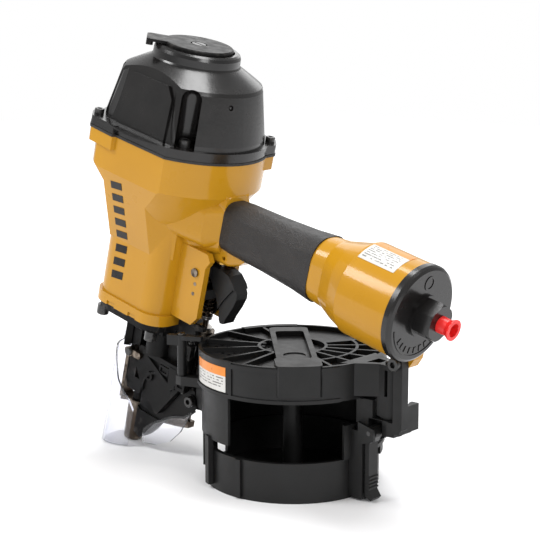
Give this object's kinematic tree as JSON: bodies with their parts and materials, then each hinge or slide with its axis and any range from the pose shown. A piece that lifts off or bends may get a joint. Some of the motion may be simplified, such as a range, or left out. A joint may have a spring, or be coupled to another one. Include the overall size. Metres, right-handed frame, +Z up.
{
  "type": "pneumatic coil nail gun",
  "caption": "Air powered nail gun with a round nail canister: driver body, rubber grip, air reservoir, spring loaded nose and trigger.",
  "frame": {"origin": "centre of the nail canister's flat base, on the surface that the tool stands on", "axes": "+Z up, +X from the nose towards the air inlet, +Y towards the tool's right side"},
  "size_m": [0.3946, 0.1676, 0.3791],
  "materials": {
    "yellow_paint": "gloss",
    "black_gloss": "gloss",
    "black_cast": "satin",
    "black_plastic": "satin",
    "grip_rubber": "matte",
    "seal_rubber": "matte",
    "bright_steel": "satin",
    "dark_steel": "satin",
    "black_screw": "satin",
    "brass": "satin",
    "aluminium": "satin",
    "red_plastic": "satin",
    "clear_plastic": "clear",
    "label": "satin",
    "decal": "gloss"
  },
  "bodies": {
    "frame": {"main_housing": "yellow_paint", "cap_gasket": "seal_rubber", "cylinder_cap": "black_gloss", "cap_screws": "black_screw", "ear_screws": "black_screw", "deflector_screw": "black_screw", "cylinder_sleeve": "aluminium", "piston_bumper": "seal_rubber", "head_valve_spring": "dark_steel", "handle_grip": "grip_rubber", "end_cap": "black_gloss", "end_cap_seal": "seal_rubber", "inlet_fitting": "black_screw", "trigger_pin": "dark_steel", "guide_pins": "dark_steel", "trigger_valve_body": "brass", "trigger_valve_spring": "dark_steel", "arm_guide": "black_plastic", "nose_casting": "black_cast", "nose_screws": "black_screw", "door_hinge_pin": "black_screw", "latch_screw": "black_screw", "arm_spring": "dark_steel", "feed_cylinder": "black_cast", "feed_spring": "dark_steel", "front_shield": "clear_plastic", "rear_shield": "clear_plastic", "magazine_housing": "black_plastic", "strut_bolt": "black_screw", "hanger_bolt": "black_screw", "hanger_nut": "black_screw", "cover_hinge_pin": "black_screw", "cover_latch_pin": "black_screw", "tray_latch_pin": "black_screw", "reservoir_label": "label", "side_stripes": "decal"},
    "deflector": {"exhaust_deflector": "black_cast"},
    "piston": {"piston_driver": "bright_steel", "piston_ring": "seal_rubber"},
    "head_valve_ring": {"head_valve": "aluminium"},
    "trigger_lever": {"trigger": "black_plastic"},
    "valve_stem": {"trigger_valve_stem": "bright_steel"},
    "contact_arm_slide": {"contact_arm": "dark_steel", "arm_collar": "bright_steel", "depth_stop": "bright_steel"},
    "depth_adjuster": {"depth_wheel": "dark_steel"},
    "door": {"nose_door": "black_cast"},
    "door_turn_latch": {"door_latch": "dark_steel"},
    "feed_carrier": {"feed_piston": "bright_steel", "pawl_pin": "bright_steel"},
    "pawl": {"feed_pawl": "dark_steel"},
    "cover": {"magazine_cover": "black_plastic", "magazine_label": "label"},
    "cover_catch": {"cover_latch": "black_plastic"},
    "tray": {"nail_tray": "black_plastic"},
    "tray_catch": {"tray_latch": "black_plastic"},
    "plug": {"inlet_plug": "red_plastic"}
  },
  "joints": [
    {"name": "deflector_turn", "type": "hinge", "parent": "frame", "child": "deflector", "pos_m": [-0.09391, -0.016, 0.36774], "axis": [0.2419, 0, 0.9703], "continuous": true},
    {"name": "piston_stroke", "type": "slide", "parent": "frame", "child": "piston", "axis": [-0.2419, 0, -0.9703], "range_m": [0, 0.1]},
    {"name": "head_valve_lift", "type": "slide", "parent": "frame", "child": "head_valve_ring", "axis": [0.2419, 0, 0.9703], "range_m": [0, 0.006], "stiffness_N_per_m": 2000, "springref_m": -0.004, "deforming": ["head_valve_spring"]},
    {"name": "trigger_pull", "type": "hinge", "parent": "frame", "child": "trigger_lever", "pos_m": [-0.07861, -0.016, 0.17491], "axis": [0, -1, 0], "range_deg": [0, 8], "stiffness_Nm_per_rad": 0.5, "springref_deg": -11.46},
    {"name": "valve_stem_push", "type": "slide", "parent": "frame", "child": "valve_stem", "axis": [0.2419, 0, 0.9703], "range_m": [0, 0.0026], "deforming": ["trigger_valve_spring"]},
    {"name": "contact_arm_press", "type": "slide", "parent": "frame", "child": "contact_arm_slide", "axis": [0.2419, 0, 0.9703], "range_m": [0, 0.01], "stiffness_N_per_m": 600, "springref_m": -0.012, "deforming": ["arm_spring"]},
    {"name": "depth_wheel_turn", "type": "hinge", "parent": "contact_arm_slide", "child": "depth_adjuster", "pos_m": [-0.09812, -0.0085, 0.1132], "axis": [0.2419, 0, 0.9703], "continuous": true},
    {"name": "nose_door_open", "type": "hinge", "parent": "frame", "child": "door", "pos_m": [-0.0976, -0.034, 0.07185], "axis": [0.2419, 0, 0.9703], "range_deg": [0, 80]},
    {"name": "door_latch_turn", "type": "hinge", "parent": "frame", "child": "door_turn_latch", "pos_m": [-0.16722, -0.034, 0.09023], "axis": [0, -1, 0], "range_deg": [0, 90]},
    {"name": "feed_stroke", "type": "slide", "parent": "frame", "child": "feed_carrier", "axis": [0.9703, 0, -0.2419], "range_m": [0, 0.009], "stiffness_N_per_m": 400, "springref_m": -0.01, "deforming": ["feed_spring"]},
    {"name": "pawl_swing", "type": "hinge", "parent": "feed_carrier", "child": "pawl", "pos_m": [-0.142, 0.0045, 0.08395], "axis": [0.2419, 0, 0.9703], "range_deg": [0, 10], "stiffness_Nm_per_rad": 0.02, "springref_deg": -5.73},
    {"name": "cover_swing", "type": "hinge", "parent": "frame", "child": "cover", "pos_m": [0.103, 0.006, 0.1], "axis": [0, 0, 1], "range_deg": [0, 75]},
    {"name": "cover_latch_turn", "type": "hinge", "parent": "frame", "child": "cover_catch", "pos_m": [-0.084, -0.05, 0.098], "axis": [0, 0, -1], "range_deg": [0, 55]},
    {"name": "tray_lift", "type": "slide", "parent": "frame", "child": "tray", "axis": [0, 0, 1], "range_m": [0, 0.024]},
    {"name": "tray_latch_pull", "type": "hinge", "parent": "frame", "child": "tray_catch", "pos_m": [0.095, -0.006, 0.06], "axis": [0, -1, 0], "range_deg": [0, 20], "stiffness_Nm_per_rad": 0.4, "springref_deg": -8.59},
    {"name": "plug_pull", "type": "slide", "parent": "frame", "child": "plug", "axis": [0.9703, 0, -0.2419], "range_m": [0, 0.025]}
  ],
  "couplings": [
    {"joint": "valve_stem_push", "follows": "trigger_pull", "m_per_rad": 0.0115}
  ]
}
